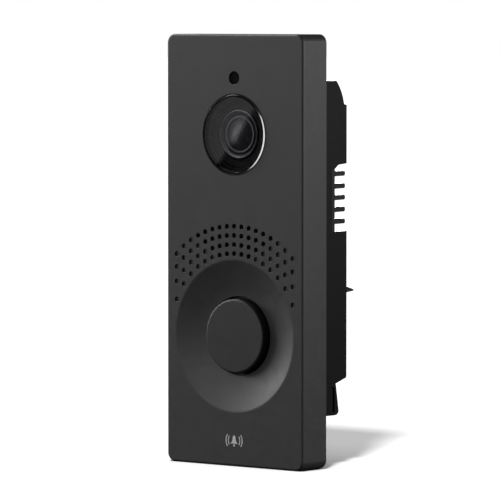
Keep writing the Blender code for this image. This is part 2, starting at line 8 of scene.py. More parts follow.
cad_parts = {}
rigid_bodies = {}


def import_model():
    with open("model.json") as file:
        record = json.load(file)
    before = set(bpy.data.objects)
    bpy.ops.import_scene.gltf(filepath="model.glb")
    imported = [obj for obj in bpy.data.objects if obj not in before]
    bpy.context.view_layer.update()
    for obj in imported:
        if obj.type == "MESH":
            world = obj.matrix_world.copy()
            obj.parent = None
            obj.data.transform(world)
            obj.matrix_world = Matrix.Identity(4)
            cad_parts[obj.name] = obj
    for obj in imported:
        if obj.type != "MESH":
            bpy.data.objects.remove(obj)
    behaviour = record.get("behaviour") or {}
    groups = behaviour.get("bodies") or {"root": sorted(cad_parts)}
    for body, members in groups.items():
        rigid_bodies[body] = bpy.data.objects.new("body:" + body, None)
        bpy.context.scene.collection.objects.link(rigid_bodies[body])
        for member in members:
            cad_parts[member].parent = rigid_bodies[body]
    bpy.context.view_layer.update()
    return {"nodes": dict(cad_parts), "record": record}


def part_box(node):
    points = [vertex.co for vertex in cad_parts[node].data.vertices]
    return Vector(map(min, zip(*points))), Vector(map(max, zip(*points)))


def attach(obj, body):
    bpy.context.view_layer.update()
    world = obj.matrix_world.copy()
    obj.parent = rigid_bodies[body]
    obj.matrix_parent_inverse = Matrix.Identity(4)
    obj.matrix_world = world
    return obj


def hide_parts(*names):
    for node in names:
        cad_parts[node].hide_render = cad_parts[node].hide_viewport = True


# The looks of a slim one-button video doorbell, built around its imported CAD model.
# Lengths are in millimetres, and MM turns them into Blender's metres. The front faces -Y, +Z is up,
# and the wall plane is Y = 0. Heights and outer sizes are read from the frame.

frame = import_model()

MM = 0.001


def span(node):
    """A CAD node's lowest and highest corners, in millimetres."""
    low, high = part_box(node)
    return low / MM, high / MM


def middle(node):
    """The middle of a CAD node's box, in millimetres."""
    low, high = span(node)
    return (low + high) / 2


# Read from the frame. PLATE_BACK is the base plate's back, and the housing starts a small gap behind it.
COVER_LOW, COVER_HIGH = span("front_cover")
FRONT = COVER_LOW.y
HALF_X = COVER_HIGH.x
HALF_Z = COVER_HIGH.z
BUTTON_Z = middle("call_button").z
WINDOW_Z = middle("camera_window").z
SENSOR_Z = middle("sensor_window").z
HOUSING_GAP = 0.3
PLATE_BACK = span("rear_housing")[0].y - HOUSING_GAP

# Front cover, as in the CAD model.
FACE = 2.2
INNER = FRONT + FACE
WALL = 2.0
CORNER = 3.6
INSIDE_CORNER = 2.0
EDGE = 0.95
BACK_EDGE = 0.08
INSET_CHAMFER = 0.15

# The dish round the button. Its boss stands behind the face.
DISH_RADIUS = 30.6
DISH_INNER = 15.9
DISH_DEPTH = 3.3
DISH_CURVE = 1.35
DISH_RIM = 0.5
DISH_LIP = 0.4
DISH_BACK = FRONT + 5.5
BOSS_WALL = 0.9

# Call button.
BUTTON_RADIUS = 15.0
BUTTON_EDGE = 0.9
BUTTON_FLANGE = 17.2
BUTTON_BORE = 13.4

# Speaker holes. Each row is its radius about the button and the last column whose holes go through.
HOLE_RADIUS = 1.0
HOLE_CHAMFER = 0.1
HOLE_PITCH = 3.79
HOLE_COLUMNS = 8
HOLE_ROWS = ((33.3, 2), (36.9, 3), (40.6, 4), (44.3, 5))
BLIND_DEPTH = 0.9

# Camera window and light sensor: their holes, and the radii of what lies inside them.
WINDOW_HOLE = 16.35
WINDOW_GAP = 0.3
SLEEVE_WIDTH = 0.55
GLASS_RADIUS = 15.2
PRINT_INNER = 14.45
SENSOR_HOLE = 2.65
SENSOR_GAP = 0.12

# Rear housing: depths behind PLATE_BACK, and the heights of the cooling fins and of their opening.
HOUSING_DEPTH = 18.8
FIN_ROOT = 8.9
FIN_LOW = 7.8
FIN_HIGH = 32.7
FIN_HEIGHTS = (11.8, 16.6, 21.4, 26.0, 31.0)
FIN_HALF = 1.03

# Wall screw positions, as in the CAD model, and the screws whose places are read from the frame.
WALL_SCREW_X = 24.0
WALL_SCREW_Z = 76.5
HOUSING_SCREWS = ("housing_screw_1", "housing_screw_2", "housing_screw_3", "housing_screw_4")
SERVICE_SCREWS = ("terminal_cover_screw_1", "terminal_cover_screw_2")

# Camera: its azimuth right of the front and its elevation in degrees, and what it looks at.
VIEW_ANGLES = (39.57, 3.032)
VIEW_DISTANCE = 1831.6
VIEW_TARGET = Vector((2.18, -7.68, 0.06))
VIEW_LENS = 327.2


# ---------------------------------------------------------------- mesh work


def built(name, points, faces):
    """A piece from points in millimetres, with its faces turned outwards."""
    mesh = bpy.data.meshes.new(name)
    mesh.from_pydata([Vector(point) * MM for point in points], [], faces)
    work = bmesh.new()
    work.from_mesh(mesh)
    bmesh.ops.recalc_face_normals(work, faces=work.faces)
    work.to_mesh(mesh)
    work.free()
    piece = bpy.data.objects.new(name, mesh)
    bpy.context.scene.collection.objects.link(piece)
    return piece


def placed(axis, centre, a, b, along):
    """A point at a, b across the axis from the centre, and at `along` on the axis."""
    if axis == "X":
        return (along, centre[0] + a, centre[1] + b)
    if axis == "Y":
        return (centre[0] + a, along, centre[1] + b)
    return (centre[0] + a, centre[1] + b, along)


def turned_shape(profile, centre, axis, segments):
    """Points and faces of a closed (radius, distance along the axis) profile turned about the axis."""
    points = []
    rings = []
    for radius, along in profile:
        turns = segments if radius > 0 else 1
        rings.append([len(points) + i for i in range(turns)])
        for i in range(turns):
            angle = 2 * math.pi * i / segments
            points.append(placed(axis, centre, radius * math.cos(angle), radius * math.sin(angle), along))
    faces = []
    for first, second in zip(rings, rings[1:] + rings[:1]):
        if len(first) == 1 and len(second) == 1:
            continue
        for i in range(segments):
            j = (i + 1) % segments
            corners = [first[i % len(first)], first[j % len(first)]]
            corners += [second[j % len(second)], second[i % len(second)]]
            faces.append(tuple(dict.fromkeys(corners)))
    return points, faces


def turned(name, profile, centre, axis="Y", *, segments):
    """A solid from a closed (radius, distance along the axis) profile."""
    return built(name, *turned_shape(profile, centre, axis, segments))


def prism(name, outline, axis, low, high):
    """A solid from an outline pushed along an axis from low to high."""
    count = len(outline)
    points = [placed(axis, (0.0, 0.0), a, b, low) for a, b in outline]
    points += [placed(axis, (0.0, 0.0), a, b, high) for a, b in outline]
    faces = [tuple(range(count)), tuple(range(count, 2 * count))]
    for i in range(count):
        j = (i + 1) % count
        faces.append((i, j, count + j, count + i))
    return built(name, points, faces)


def block(name, low, high):
    """A box between two corners."""
    outline = [(low[0], low[1]), (high[0], low[1]), (high[0], high[1]), (low[0], high[1])]
    return prism(name, outline, "Z", low[2], high[2])


def arc(centre_a, centre_b, radius, start, end, steps):
    """Points of an arc in degrees, from start to end."""
    points = []
    for i in range(steps + 1):
        angle = math.radians(start + (end - start) * i / steps)
        points.append((centre_a + radius * math.cos(angle), centre_b + radius * math.sin(angle)))
    return points


def rounded_rectangle(half_a, half_b, radius, steps, centre=(0.0, 0.0)):
    """Points of a rectangle's outline, with each rounded corner in that many steps."""
    outline = []
    corners = ((1, 1, 0.0), (-1, 1, 0.5), (-1, -1, 1.0), (1, -1, 1.5))
    for sign_a, sign_b, start in corners:
        for i in range(steps + 1):
            angle = math.pi * (start + 0.5 * i / steps)
            a = sign_a * (half_a - radius) + radius * math.cos(angle)
            b = sign_b * (half_b - radius) + radius * math.sin(angle)
            outline.append((centre[0] + a, centre[1] + b))
    return outline


def lofted(name, rings):
    """A solid from rings of equal length, closed by a face at each end."""
    count = len(rings[0])
    points = [point for ring in rings for point in ring]
    faces = [tuple(range(count)), tuple(range(len(points) - count, len(points)))]
    for level in range(len(rings) - 1):
        low = level * count
        for i in range(count):
            j = (i + 1) % count
            faces.append((low + i, low + j, low + count + j, low + count + i))
    return built(name, points, faces)


def slab(name, outline_at, low, high, round_low, round_high):
    """A plate across Y with rounded front and back edges. outline_at gives its outline for an inset."""
    rings = []
    steps = 3
    for y, radius, side in ((low, round_low, 1), (high, round_high, -1)):
        levels = range(steps + 1) if side > 0 else range(steps, -1, -1)
        for i in levels if radius else (0,):
            angle = 0.5 * math.pi * i / steps
            inset = radius * (1 - math.sin(angle)) if radius else 0.0
            depth = y + side * radius * (1 - math.cos(angle))
            rings.append([(a, depth, b) for a, b in outline_at(inset)])
    return lofted(name, rings)


def applied(piece):
    """The piece with its modifiers turned into mesh."""
    bpy.context.view_layer.update()
    graph = bpy.context.evaluated_depsgraph_get()
    mesh = bpy.data.meshes.new_from_object(piece.evaluated_get(graph))
    piece.modifiers.clear()
    old = piece.data
    piece.data = mesh
    bpy.data.meshes.remove(old)
    return piece


def combined(piece, operation, others):
    """The piece after a Boolean with each of the others, which are used up."""
    for other in others:
        step = piece.modifiers.new(operation, "BOOLEAN")
        step.operation = operation
        step.solver = "EXACT"
        step.object = other
        applied(piece)
        bpy.data.objects.remove(other, do_unlink=True)
    return piece


def cut(piece, *others):
    return combined(piece, "DIFFERENCE", others)


def join(piece, *others):
    return combined(piece, "UNION", others)


def bevelled(piece, width):
    """The piece with its square edges rounded."""
    step = piece.modifiers.new("bevel", "BEVEL")
    step.width = width * MM
    step.segments = 2
    step.limit_method = "ANGLE"
    step.angle_limit = math.radians(60)
    return applied(piece)


def smoothed(piece, angle):
    """Smooth shading, apart from edges sharper than the angle."""
    piece.data.shade_smooth()
    piece.data.set_sharp_from_angle(angle=math.radians(angle))
    step = piece.modifiers.new("normals", "WEIGHTED_NORMAL")
    step.keep_sharp = True
    return piece


def shown(piece, body, slot, surface, *nodes, angle=32):
    """Shades the piece, gives it its finish and puts it in its body, in place of the CAD nodes."""
    smoothed(piece, angle)
    piece.data.materials.clear()
    piece.data.materials.append(surface.material)
    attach(piece, body)
    if nodes:
        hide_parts(*nodes)
    return piece


# ---------------------------------------------------------------- materials


class Surface:
    """A Principled material whose colour, roughness and bump vary with noise at several scales."""

    def __init__(self, name, colour, roughness, metallic=0.0):
        self.material = bpy.data.materials.new(name)
        self.material.use_nodes = True
        self.tree = self.material.node_tree
        self.shader = self.tree.nodes["Principled BSDF"]
        self.colour = (*colour, 1.0)
        self.roughness = roughness
        self.shader.inputs["Base Color"].default_value = self.colour
        self.shader.inputs["Roughness"].default_value = roughness
        self.shader.inputs["Metallic"].default_value = metallic
        self.place = self.tree.nodes.new("ShaderNodeTexCoord").outputs["Object"]
        self.height = None

    def node(self, kind, **values):
        made = self.tree.nodes.new(kind)
        for key, value in values.items():
            setattr(made, key, value)
        return made

    def link(self, source, target):
        self.tree.links.new(source, target)

    def noise(self, size, detail=3.0, stretch=(1.0, 1.0, 1.0)):
        """Noise from 0 to 1 whose blotches are about `size` millimetres across."""
        scale = self.node("ShaderNodeVectorMath", operation="MULTIPLY")
        scale.inputs[1].default_value = [value / (size * MM) for value in stretch]
        self.link(self.place, scale.inputs[0])
        made = self.node("ShaderNodeTexNoise")
        made.inputs["Scale"].default_value = 1.0
        made.inputs["Detail"].default_value = detail
        self.link(scale.outputs[0], made.inputs["Vector"])
        return made.outputs["Fac"]

    def cells(self, size):
        """Distance to the nearest of grains that are about `size` millimetres apart."""
        scale = self.node("ShaderNodeVectorMath", operation="SCALE")
        scale.inputs["Scale"].default_value = 1 / (size * MM)
        self.link(self.place, scale.inputs[0])
        made = self.node("ShaderNodeTexVoronoi", feature="SMOOTH_F1")
        made.inputs["Scale"].default_value = 1.0
        self.link(scale.outputs[0], made.inputs["Vector"])
        return made.outputs["Distance"]

    def ranged(self, source, low, high):
        """The source, which mostly lies between 0.3 and 0.7, spread from low to high."""
        made = self.node("ShaderNodeMapRange")
        made.inputs["From Min"].default_value = 0.3
        made.inputs["From Max"].default_value = 0.7
        made.inputs["To Min"].default_value = low
        made.inputs["To Max"].default_value = high
        self.link(source, made.inputs["Value"])
        return made.outputs["Result"]

    def vary_colour(self, source, low, high):
        """Scales the base colour between low and high."""
        made = self.node("ShaderNodeMix", data_type="RGBA")
        made.inputs[6].default_value = [value * low for value in self.colour[:3]] + [1.0]
        made.inputs[7].default_value = [value * high for value in self.colour[:3]] + [1.0]
        self.link(self.ranged(source, 0.0, 1.0), made.inputs[0])
        self.link(made.outputs[2], self.shader.inputs["Base Color"])

    def vary_roughness(self, source, spread):
        low = max(self.roughness - spread, 0.002)
        self.link(self.ranged(source, low, self.roughness + spread), self.shader.inputs["Roughness"])

    def bump(self, source, depth):
        """Raises the surface by the source times `depth` millimetres, on top of earlier bumps."""
        made = self.node("ShaderNodeBump")
        made.inputs["Strength"].default_value = 1.0
        made.inputs["Distance"].default_value = depth * MM
        self.link(source, made.inputs["Height"])
        if self.height:
            self.link(self.height, made.inputs["Normal"])
        self.height = made.outputs["Normal"]
        self.link(self.height, self.shader.inputs["Normal"])

    def setting(self, **values):
        """Sets the shader's own sockets, whose names have underscores for spaces here."""
        for key, value in values.items():
            self.shader.inputs[key.replace("_", " ")].default_value = value
        return self


def grained(name, colour, roughness, grain=0.35, depth=0.012, tint=0.06):
    """Moulded or painted plastic with a fine, even grain, whose size and depth are in millimetres."""
    made = Surface(name, colour, roughness)
    made.vary_colour(made.noise(9.0), 1 - tint, 1 + tint)
    made.vary_roughness(made.noise(3.0, 5.0), 0.05)
    made.bump(made.noise(4 * grain, 2.0), depth)
    made.bump(made.cells(grain), depth)
    return made


def brushed(name, colour, roughness, stretch=(0.06, 1.0, 1.0), metallic=1.0):
    """Metal with fine lines along the axis whose stretch is least."""
    made = Surface(name, colour, roughness, metallic)
    lines = made.noise(0.25, 4.0, stretch)
    made.vary_colour(made.noise(6.0), 0.9, 1.08)
    made.vary_roughness(lines, 0.08)
    made.bump(lines, 0.002)
    return made


def circuit_board(name):
    """Green solder mask in uneven fields, with paler traces between them."""
    made = Surface(name, (0.018, 0.10, 0.045), 0.38)
    traces = made.node("ShaderNodeTexBrick")
    traces.inputs["Scale"].default_value = 1 / (6.0 * MM)
    traces.inputs["Color1"].default_value = (0.014, 0.085, 0.038, 1.0)
    traces.inputs["Color2"].default_value = (0.022, 0.12, 0.055, 1.0)
    traces.inputs["Mortar"].default_value = (0.05, 0.20, 0.09, 1.0)
    traces.inputs["Mortar Size"].default_value = 0.03
    swap = made.node("ShaderNodeSeparateXYZ")
    flat = made.node("ShaderNodeCombineXYZ")
    made.link(made.place, swap.inputs[0])
    made.link(swap.outputs["X"], flat.inputs["X"])
    made.link(swap.outputs["Z"], flat.inputs["Y"])
    made.link(flat.outputs[0], traces.inputs["Vector"])
    made.link(traces.outputs["Color"], made.shader.inputs["Base Color"])
    made.vary_roughness(made.noise(2.0), 0.08)
    made.bump(traces.outputs["Fac"], 0.03)
    return made


def pane(name, tint, roughness):
    """Clear glass that lets the lamps' light through to what is behind it."""
    made = Surface(name, tint, roughness)
    made.setting(Transmission_Weight=1.0, IOR=1.5)
    made.vary_roughness(made.noise(5.0), 0.004)
    clear = made.node("ShaderNodeBsdfTransparent")
    clear.inputs["Color"].default_value = (*tint, 1.0)
    rays = made.node("ShaderNodeLightPath")
    mixed = made.node("ShaderNodeMixShader")
    made.link(rays.outputs["Is Shadow Ray"], mixed.inputs[0])
    made.link(made.shader.outputs[0], mixed.inputs[1])
    made.link(clear.outputs[0], mixed.inputs[2])
    made.link(mixed.outputs[0], made.tree.nodes["Material Output"].inputs["Surface"])
    return made


def coated_lens(name, colour, film):
    """A lens seen from outside: nearly black glass, with a film that is `film` nanometres thick."""
    made = Surface(name, colour, 0.18)
    made.vary_colour(made.noise(4.0), 0.85, 1.15)
    made.vary_roughness(made.noise(3.0), 0.004)
    made.setting(IOR=1.6, Thin_Film_Thickness=film, Thin_Film_IOR=1.38)
    return made


GRAPHITE = grained("graphite_satin", (0.046, 0.047, 0.050), 0.46)
BUTTON = grained("button_satin", (0.026, 0.027, 0.029), 0.48, grain=0.3, depth=0.008)
BLACK = grained("black_moulded", (0.0055, 0.0055, 0.0058), 0.5, grain=0.5, depth=0.02)
BLACK.setting(Specular_IOR_Level=0.16)
PLATE = grained("plate_moulded", (0.018, 0.018, 0.019), 0.55, grain=0.6, depth=0.02)
MATT = grained("matt_black", (0.006, 0.006, 0.006), 0.55, grain=0.2, depth=0.004)
MATT.setting(Specular_IOR_Level=0.22)
BARREL = grained("barrel_black", (0.012, 0.012, 0.012), 0.36, grain=0.25, depth=0.001)
TRIM = grained("violet_coat", (0.032, 0.030, 0.048), 0.32, grain=0.25, depth=0.001)
GLOSS = grained("gloss_black", (0.006, 0.006, 0.006), 0.22, grain=0.3, depth=0.001)
RING = Surface("polished_edge", (0.72, 0.72, 0.73), 0.2, 1.0)
RING.vary_roughness(RING.noise(2.0), 0.02)
RING.vary_colour(RING.noise(3.0), 0.92, 1.05)
FINS = brushed("black_anodised", (0.028, 0.028, 0.030), 0.36, metallic=0.6)
STEEL = brushed("zinc_steel", (0.50, 0.51, 0.53), 0.28, (1.0, 1.0, 0.2))
BLACK_STEEL = brushed("black_steel", (0.045, 0.045, 0.047), 0.36, (1.0, 1.0, 0.2), 0.8)
GLASS = pane("window_glass", (0.62, 0.62, 0.63), 0.005)
FRIT = grained("printed_black", (0.004, 0.004, 0.004), 0.35, grain=0.15, depth=0.001)
SMOKED = Surface("smoked_glass", (0.0055, 0.0055, 0.006), 0.19)
SMOKED.vary_roughness(SMOKED.noise(2.0), 0.015)
SMOKED.vary_colour(SMOKED.noise(1.0), 0.8, 1.2)
LENS = coated_lens("front_lens_coating", (0.017, 0.017, 0.020), 0.0)
LENS_INNER = coated_lens("inner_lens_coating", (0.006, 0.006, 0.014), 420.0)
RUBBER = grained("soft_rubber", (0.018, 0.018, 0.018), 0.72, grain=0.8, depth=0.02)
BOARD = circuit_board("solder_mask")
CHIP = grained("chip_epoxy", (0.022, 0.022, 0.024), 0.45, grain=0.25, depth=0.006)
IVORY = grained("ivory_moulded", (0.62, 0.60, 0.54), 0.42, grain=0.6, depth=0.01)
GREEN = grained("green_moulded", (0.06, 0.30, 0.12), 0.42, grain=0.6, depth=0.01)
BLUE = grained("blue_moulded", (0.02, 0.09, 0.30), 0.38, grain=0.6, depth=0.01)
PAPER = grained("pressed_paper", (0.045, 0.043, 0.040), 0.82, grain=0.9, depth=0.05, tint=0.2)
MAGNET = brushed("nickel", (0.42, 0.42, 0.43), 0.32)
PAD = grained("silicone_pad", (0.46, 0.47, 0.52), 0.68, grain=0.7, depth=0.02)
FERRITE = grained("ferrite", (0.10, 0.095, 0.09), 0.58, grain=0.5, depth=0.03, tint=0.15)
PRINT = grained("white_print", (0.80, 0.80, 0.80), 0.45, grain=0.12, depth=0.002, tint=0.03)


# ---------------------------------------------------------------- front cover


def dish_depth(radius):
    """How far the dish lies behind the front face at this distance from the button's centre."""
    share = (radius - DISH_INNER) / (DISH_RADIUS - DISH_INNER)
    return DISH_DEPTH * (1 - share**DISH_CURVE)


def dish_cutter():
    """The dish with a softly rounded rim and lip, and the button's bore behind it."""
    slope = DISH_CURVE * DISH_DEPTH / (DISH_RADIUS - DISH_INNER)
    outer = DISH_RADIUS + DISH_RIM
    rim_slope = 0.05
    above = 0.2
    profile = [(0.0, FRONT - above), (outer + above / rim_slope, FRONT - above)]
    steps = 6
    for i in range(steps):
        radius = outer - (outer - DISH_RADIUS + DISH_RIM) * i / steps
        profile.append((radius, FRONT + slope * (outer - radius) ** 2 / (4 * DISH_RIM)))
    steps = 28
    start = DISH_RADIUS - DISH_RIM
    end = DISH_INNER + DISH_LIP
    for i in range(steps + 1):
        radius = start + (end - start) * i / steps
        profile.append((radius, FRONT + dish_depth(radius)))
    profile += arc(end, FRONT + dish_depth(end) + DISH_LIP, DISH_LIP, -105, -180, 5)
    beyond = DISH_BACK + 1.0
    profile += [(DISH_INNER, beyond), (0.0, beyond)]
    return turned("cut_dish", profile, (0.0, BUTTON_Z), segments=192)


def speaker_holes():
    """(x, z, goes through) of each speaker hole: arcs about the button, lined up in columns."""
    for radius, open_columns in HOLE_ROWS:
        for column in range(-HOLE_COLUMNS, HOLE_COLUMNS + 1):
            x = HOLE_PITCH * column
            yield x, BUTTON_Z + math.sqrt(radius**2 - x**2), abs(column) <= open_columns


def hole_profile(radius, end, chamfer):
    """A round cutter for the front face, with a chamfer where it enters."""
    above = 0.6
    start = [(0.0, FRONT - above), (radius + chamfer + above, FRONT - above)]
    return start + [(radius, FRONT + chamfer), (radius, end), (0.0, end)]


def front_hole_cutter():
    """One cutter for the speaker holes, the camera window and the light sensor."""
    beyond = INNER + 1.0
    holes = [((0.0, WINDOW_Z), hole_profile(WINDOW_HOLE, beyond, INSET_CHAMFER), 160)]
    holes.append(((0.0, SENSOR_Z), hole_profile(SENSOR_HOLE, beyond, INSET_CHAMFER), 64))
    for x, z, through in speaker_holes():
        end = beyond if through else FRONT + BLIND_DEPTH
        holes.append(((x, z), hole_profile(HOLE_RADIUS, end, HOLE_CHAMFER), 24))
    points = []
    faces = []
    for centre, profile, segments in holes:
        more_points, more_faces = turned_shape(profile, centre, "Y", segments)
        start = len(points)
        points += more_points
        faces += [tuple(start + corner for corner in face) for face in more_faces]
    return built("cut_front_holes", points, faces)


def make_cover():
    """The deep tray with its rounded front edge, dish, holes and the countersink in its foot."""
    levels = [(BACK_EDGE, COVER_HIGH.y), (0.0, COVER_HIGH.y - BACK_EDGE)]
    steps = 8
    for i in range(steps + 1):
        angle = 0.5 * math.pi * i / steps
        levels.append((EDGE * (1 - math.cos(angle)), FRONT + EDGE * (1 - math.sin(angle))))
    rings = []
    for inset, y in levels:
        outline = rounded_rectangle(HALF_X - inset, HALF_Z - inset, CORNER - inset, 14)
        rings.append([(a, y, b) for a, b in outline])
    cover = lofted("cover_shell", rings)
    inside = rounded_rectangle(HALF_X - WALL, HALF_Z - WALL, INSIDE_CORNER, 6)
    cut(cover, prism("cut_inside", inside, "Y", INNER, COVER_HIGH.y + 1.0))
    boss, root = DISH_RADIUS + BOSS_WALL, INNER - 0.8
    boss_profile = [(0.0, root), (boss, root), (boss, DISH_BACK), (0.0, DISH_BACK)]
    join(cover, turned("add_boss", boss_profile, (0.0, BUTTON_Z), segments=96))
    cut(cover, dish_cutter())
    cut(cover, front_hole_cutter())
    low = COVER_LOW.z
    head, shank = 3.35, 1.75
    sink = [(0.0, low - 0.5), (head, low - 0.5), (shank, low + 1.25), (shank, low + 3.0), (0.0, low + 3.0)]
    cut(cover, turned("cut_sink", sink, (0.0, middle("cover_screw").y), "Z", segments=48))
    return shown(cover, "housing", "graphite_cover", GRAPHITE, "front_cover", angle=28)


def bell_outline():
    """Half of a hand bell's outline as (half width, height), from its crown down to its rim."""
    half = arc(0.0, 1.35, 0.45, 90, 0, 6)
    steps = 6
    for i in range(steps + 1):
        share = i / steps
        half.append((0.75 + 0.55 * share**2.6, 1.1 - 2.1 * share))
    return half + [(1.75, -1.25), (1.75, -1.55)]


def make_bell_sign():
    """A plain bell with a sound arc on each side, printed under the dish."""
    height = BUTTON_Z - DISH_RADIUS - 11.5
    half = bell_outline()
    outline = half + [(-a, b) for a, b in reversed(half)]
    low, high = FRONT - 0.02, FRONT + 0.05
    sign = prism("bell_sign", [(a, height + 0.3 + b) for a, b in outline], "Y", low, high)
    clapper = [(0.0, low), (0.5, low), (0.5, high), (0.0, high)]
    parts = [turned("add_clapper", clapper, (0.0, height - 1.95), segments=24)]
    half_line, half_turn = 0.22, 34
    for side in (0, 180):
        for radius in (3.0, 4.2):
            band = arc(0.0, height, radius + half_line, side - half_turn, side + half_turn, 16)
            band += arc(0.0, height, radius - half_line, side + half_turn, side - half_turn, 16)
            parts.append(prism("add_arc", band, "Y", low, high))
    join(sign, *parts)
    return shown(sign, "housing", "ivory_plastic", PRINT)


# ---------------------------------------------------------------- camera and light sensor


def make_window():
    """The flat glass in its thin black ring, the ring's polished outer edge and the printed border."""
    low, high = span("window_bezel")
    centre = (0.0, WINDOW_Z)
    outer = WINDOW_HOLE - WINDOW_GAP
    proud, back, flange = low.y, high.y, high.x
    wall = outer - SLEEVE_WIDTH
    profile = [(GLASS_RADIUS, proud + 0.1), (GLASS_RADIUS + 0.08, proud + 0.02)]
    profile += [(wall - 0.08, proud), (wall, proud + 0.03)]
    profile += [(wall, back - 0.8), (flange, back - 0.8), (flange, back), (GLASS_RADIUS, back)]
    ring = turned("window_ring", profile, centre, segments=192)
    shown(ring, "housing", "black_plastic", GLOSS, "window_bezel", angle=50)
    inner = wall + 0.01
    profile = [(inner, proud + 0.03), (wall + 0.05, proud + 0.03), (outer - 0.03, FRONT - 0.04)]
    profile += [(outer, FRONT + 0.03), (outer, back - 0.85), (inner, back - 0.85)]
    sleeve = turned("window_sleeve", profile, centre, segments=192)
    shown(sleeve, "housing", "polished_trim", RING, angle=50)

    radius = GLASS_RADIUS - 0.04
    front = proud + 0.13
    glass_back = span("camera_window")[1].y
    profile = [(0.0, front), (radius, front), (radius, glass_back), (0.0, glass_back)]
    glass = turned("window_glass", profile, centre, segments=160)
    shown(glass, "housing", "clear_glass", GLASS, "camera_window")

    radius -= 0.02
    front, back = glass_back + 0.03, glass_back + 0.13
    profile = [(PRINT_INNER, front), (radius, front), (radius, back), (PRINT_INNER, back)]
    border = turned("window_print", profile, centre, segments=128)
    shown(border, "housing", "smoked_window", FRIT)


def make_hood():
    """The black hood behind the glass: a steep outer wall, a step and a flat plate with a rim."""
    low, high = span("camera_hood")
    outer = high.x
    inner = 10.4
    plate = low.y + 2.15
    profile = [(outer - 0.05, low.y + 0.1), (outer, low.y + 0.2), (outer, high.y), (inner, high.y)]
    profile += [(inner, plate + 0.25), (inner + 0.2, plate + 0.05), (inner + 0.5, plate)]
    profile += [(13.0, plate), (13.2, plate - 0.08), (13.3, plate - 0.3), (13.3, plate - 0.75)]
    profile += [(13.4, plate - 0.9), (13.6, plate - 0.95), (14.3, plate - 0.95), (14.4, plate - 1.05)]
    profile += [(PRINT_INNER, low.y + 0.1)]
    hood = turned("camera_shroud", profile, (0.0, WINDOW_Z), segments=128)
    shown(hood, "housing", "black_plastic", MATT, "camera_hood")


def make_lens():
    """The lens barrel with its rounded mouth, the domed front lens and the ring round the lens."""
    centre = (0.0, WINDOW_Z)
    low, high = span("lens_barrel")
    front, back = low.y, high.y
    profile = [(8.25, front + 1.9), (8.3, front + 0.9), (8.75, front + 0.45)]
    profile += arc(9.5, front + 0.55, 0.55, -160, -20, 8)
    outer, neck, shoulder = 10.15, 8.0, front + 3.6
    profile += [(outer, front + 0.75), (outer, shoulder), (neck, shoulder), (neck, back)]
    profile += [(5.0, back), (5.0, front + 3.3), (7.6, front + 2.6)]
    barrel = turned("lens_tube", profile, centre, segments=128)
    shown(barrel, "housing", "black_plastic", BARREL, "lens_barrel")

    lens_low, lens_high = span("front_lens")
    rim = 8.2
    rise = 1.7
    bulge = (rim**2 + rise**2) / (2 * rise)
    profile = []
    steps = 24
    for i in range(steps + 1):
        radius = rim * i / steps
        profile.append((radius, lens_low.y + bulge - math.sqrt(bulge**2 - radius**2)))
    profile += [(rim, lens_low.y + rise + 0.3), (0.0, lens_high.y)]
    lens = turned("lens_front", profile, centre, segments=128)
    shown(lens, "housing", "lens_glass", LENS, "front_lens")
    trim = arc(7.1, lens_low.y + 1.15, 0.75, -170, -10, 10)
    trim += [(7.8, lens_low.y + 1.6), (6.4, lens_low.y + 1.4)]
    shown(turned("lens_trim", trim, centre, segments=128), "housing", "black_plastic", TRIM)


def make_sensor():
    """The light sensor's flat dark pane, a little below the face, with its flange behind."""
    low, high = span("sensor_window")
    radius = SENSOR_HOLE - SENSOR_GAP
    front, flange, back = low.y + 0.3, high.y - 0.8, high.y
    profile = [(0.0, front), (radius - 0.1, front), (radius, front + 0.1), (radius, flange)]
    profile += [(high.x, flange), (high.x, back), (0.0, back)]
    plug = turned("sensor_pane", profile, (0.0, SENSOR_Z), segments=64)
    shown(plug, "housing", "smoked_window", SMOKED, "sensor_window")


# ---------------------------------------------------------------- call button


def make_button():
    """The hollow cap with a rounded edge, a flange behind the dish and a post for the switch."""
    low, high = span("call_button")
    profile = [(0.0, low.y)]
    profile += arc(BUTTON_RADIUS - BUTTON_EDGE, low.y + BUTTON_EDGE, BUTTON_EDGE, -90, 0, 8)
    flange, back = DISH_BACK + 0.3, DISH_BACK + 1.3
    profile += [(BUTTON_RADIUS, flange), (BUTTON_FLANGE, flange), (BUTTON_FLANGE, back), (BUTTON_BORE, back)]
    cup, post = low.y + 1.05, 3.0
    profile += [(BUTTON_BORE, cup), (post, cup), (post, high.y - 0.2), (post - 0.2, high.y), (0.0, high.y)]
    cap = turned("button_cap", profile, (0.0, BUTTON_Z), segments=160)
    shown(cap, "call_button", "button_black", BUTTON, "call_button")


# ---------------------------------------------------------------- rear housing


